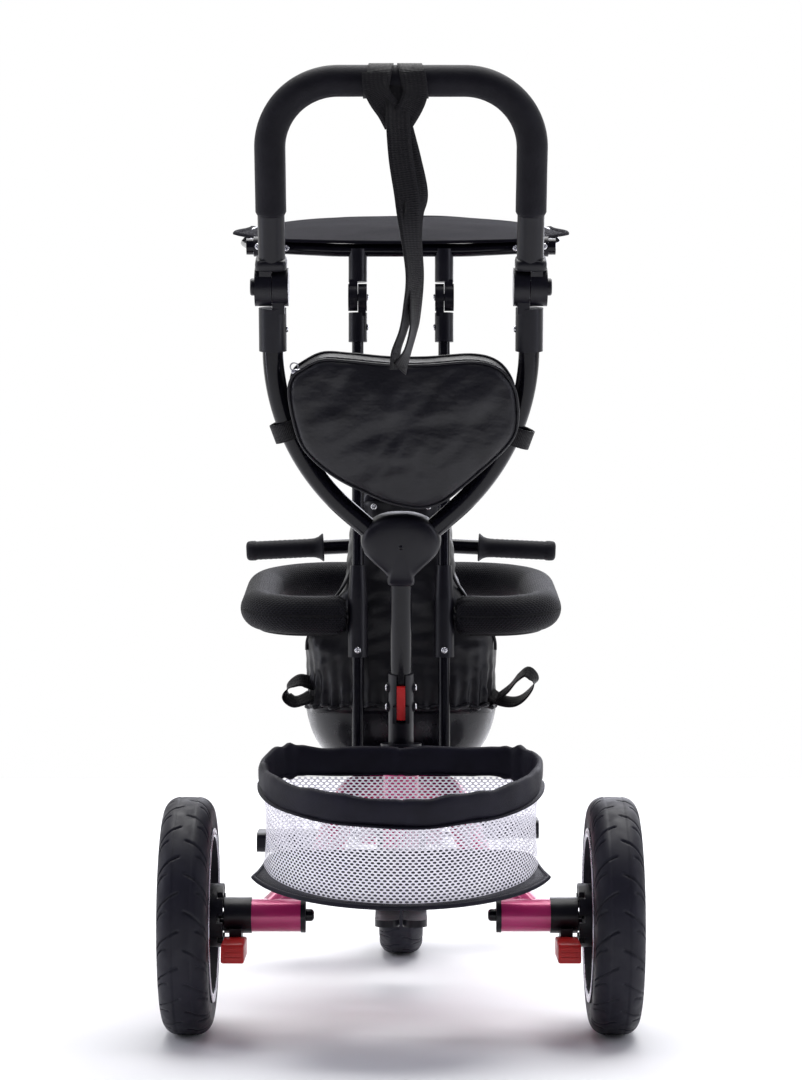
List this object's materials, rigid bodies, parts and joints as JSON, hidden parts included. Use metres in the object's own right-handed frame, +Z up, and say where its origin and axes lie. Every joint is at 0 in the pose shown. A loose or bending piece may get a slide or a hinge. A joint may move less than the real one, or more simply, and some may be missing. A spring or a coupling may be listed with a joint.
{
  "type": "children's tricycle",
  "caption": "Children's tricycle with a parent push handle, canopy, padded safety ring, mesh rear basket, folding footrests and wheel brakes.",
  "frame": {"origin": "on the floor under the middle of the whole tricycle", "axes": "+Z up, +Y forward in the direction of travel, +X to the rider's right"},
  "size_m": [0.501, 0.9809, 1.0058],
  "materials": {
    "tyre": "matte moulded rubber with a blue tint",
    "rim_plastic": "moulded, fine texture",
    "pink_paint": "gloss powder coat",
    "black_plastic": "moulded, slight sheen",
    "black_paint": "gloss",
    "steel": "zinc plated",
    "chrome": "polished",
    "red_plastic": "moulded",
    "foam": "closed-cell foam",
    "mesh_foam": "knitted mesh over foam",
    "canopy_cloth": "coated polyester",
    "bag_cloth": "nylon, slight gloss",
    "net": "white polyester mesh",
    "webbing": "woven polyester webbing",
    "seat_cloth": "padded polyester",
    "seat_plastic": "moulded",
    "band_cloth": "folded polyester band"
  },
  "bodies": {
    "frame": {"rear_upright": "pink_paint", "main_tube": "pink_paint", "down_tube": "pink_paint", "left_axle_arm": "pink_paint", "right_axle_arm": "pink_paint", "axle_end_caps": "black_plastic", "rear_axles": "steel", "brake_housings": "black_plastic", "seat_carrier": "black_paint", "seat_shell": "seat_plastic", "seat_cover": "seat_cloth", "harness_straps": "webbing", "canopy_posts": "black_paint", "post_sleeves": "black_plastic", "footrest_bracket": "black_plastic", "basket_rim": "band_cloth", "basket_net": "net", "basket_floor": "band_cloth", "handle_socket": "black_plastic", "frame_screws": "chrome"},
    "left_wheel": {"left_tyre": "tyre", "left_rim": "rim_plastic", "left_hub_drum": "black_plastic"},
    "right_wheel": {"right_tyre": "tyre", "right_rim": "rim_plastic", "right_hub_drum": "black_plastic"},
    "left_brake": {"left_brake_pedal": "red_plastic"},
    "right_brake": {"right_brake_pedal": "red_plastic"},
    "steering": {"fork": "pink_paint", "handlebar": "black_paint", "bar_clamp": "black_plastic", "handlebar_grips": "foam"},
    "front_wheel": {"front_tyre": "tyre", "front_rim": "rim_plastic", "crankset": "steel"},
    "left_foot_pedal": {"left_pedal": "black_plastic"},
    "right_foot_pedal": {"right_pedal": "black_plastic"},
    "safety_ring": {"ring_foam": "mesh_foam", "ring_ends": "black_plastic"},
    "left_foot_plate": {"left_footrest": "black_plastic"},
    "right_foot_plate": {"right_footrest": "black_plastic"},
    "latch": {"latch_lever": "red_plastic"},
    "push_handle": {"handle_stem": "black_paint", "handle_arms": "black_paint", "handle_junction": "black_plastic", "joint_bases": "black_plastic", "bag": "bag_cloth"},
    "handle_loop": {"loop_joints": "black_plastic", "loop_tube": "black_paint", "loop_foam": "foam", "wrist_strap": "webbing"},
    "left_release": {"left_button": "black_plastic"},
    "right_release": {"right_button": "black_plastic"},
    "canopy_mast": {"canopy_rods": "black_paint", "rod_heads": "black_plastic"},
    "canopy_frame": {"canopy_joints": "black_plastic", "rear_bow": "black_paint"},
    "canopy_front": {"canopy_hoop": "black_paint", "canopy_cover": "canopy_cloth"}
  },
  "joints": [
    {"name": "left_wheel_spin", "type": "hinge", "parent": "frame", "child": "left_wheel", "pos_m": [-0.2245, -0.25954, 0.125], "axis": [1, 0, 0], "continuous": true},
    {"name": "right_wheel_spin", "type": "hinge", "parent": "frame", "child": "right_wheel", "pos_m": [0.2245, -0.25954, 0.125], "axis": [1, 0, 0], "continuous": true},
    {"name": "left_brake_press", "type": "hinge", "parent": "frame", "child": "left_brake", "pos_m": [-0.1745, -0.27354, 0.099], "axis": [1, 0, 0], "range_deg": [0, 18]},
    {"name": "right_brake_press", "type": "hinge", "parent": "frame", "child": "right_brake", "pos_m": [0.1745, -0.27354, 0.099], "axis": [1, 0, 0], "range_deg": [0, 18]},
    {"name": "steer", "type": "hinge", "parent": "frame", "child": "steering", "pos_m": [0, 0.34046, 0.15], "axis": [0, -0.3746, 0.9272], "range_deg": [-18, 18]},
    {"name": "front_wheel_spin", "type": "hinge", "parent": "steering", "child": "front_wheel", "pos_m": [0, 0.34046, 0.15], "axis": [1, 0, 0], "continuous": true},
    {"name": "left_pedal_spin", "type": "hinge", "parent": "front_wheel", "child": "left_foot_pedal", "pos_m": [-0.127, 0.26046, 0.15], "axis": [1, 0, 0], "continuous": true},
    {"name": "right_pedal_spin", "type": "hinge", "parent": "front_wheel", "child": "right_foot_pedal", "pos_m": [0.127, 0.42046, 0.15], "axis": [1, 0, 0], "continuous": true},
    {"name": "ring_lift", "type": "hinge", "parent": "frame", "child": "safety_ring", "pos_m": [0, -0.13954, 0.44], "axis": [1, 0, 0], "range_deg": [0, 55]},
    {"name": "left_footrest_swing", "type": "hinge", "parent": "frame", "child": "left_foot_plate", "pos_m": [-0.016, 0.09246, 0.085], "axis": [0, 0, 1], "range_deg": [-90, 0]},
    {"name": "right_footrest_swing", "type": "hinge", "parent": "frame", "child": "right_foot_plate", "pos_m": [0.016, 0.09246, 0.085], "axis": [0, 0, 1], "range_deg": [0, 90]},
    {"name": "latch_pull", "type": "hinge", "parent": "frame", "child": "latch", "pos_m": [0, -0.23255, 0.33306], "axis": [1, 0, 0], "range_deg": [0, 25], "stiffness_Nm_per_rad": 0.05},
    {"name": "handle_pull_out", "type": "slide", "parent": "frame", "child": "push_handle", "axis": [0, -0.2079, 0.9781], "range_m": [0, 0.055]},
    {"name": "loop_fold", "type": "hinge", "parent": "push_handle", "child": "handle_loop", "pos_m": [0, -0.31352, 0.78612], "axis": [-1, 0, 0], "range_deg": [0, 60]},
    {"name": "left_button_press", "type": "slide", "parent": "handle_loop", "child": "left_release", "axis": [1, 0, 0], "range_m": [0, 0.0015], "stiffness_N_per_m": 80},
    {"name": "right_button_press", "type": "slide", "parent": "handle_loop", "child": "right_release", "axis": [-1, 0, 0], "range_m": [0, 0.0015], "stiffness_N_per_m": 80},
    {"name": "canopy_height", "type": "slide", "parent": "frame", "child": "canopy_mast", "axis": [0, 0, 1], "range_m": [-0.025, 0.035]},
    {"name": "canopy_tilt", "type": "hinge", "parent": "canopy_mast", "child": "canopy_frame", "pos_m": [0, -0.14454, 0.79], "axis": [1, 0, 0], "range_deg": [-12, 25]},
    {"name": "hoop_fold", "type": "hinge", "parent": "canopy_frame", "child": "canopy_front", "pos_m": [0, -0.14454, 0.846], "axis": [1, 0, 0], "range_deg": [-18, 15]}
  ]
}
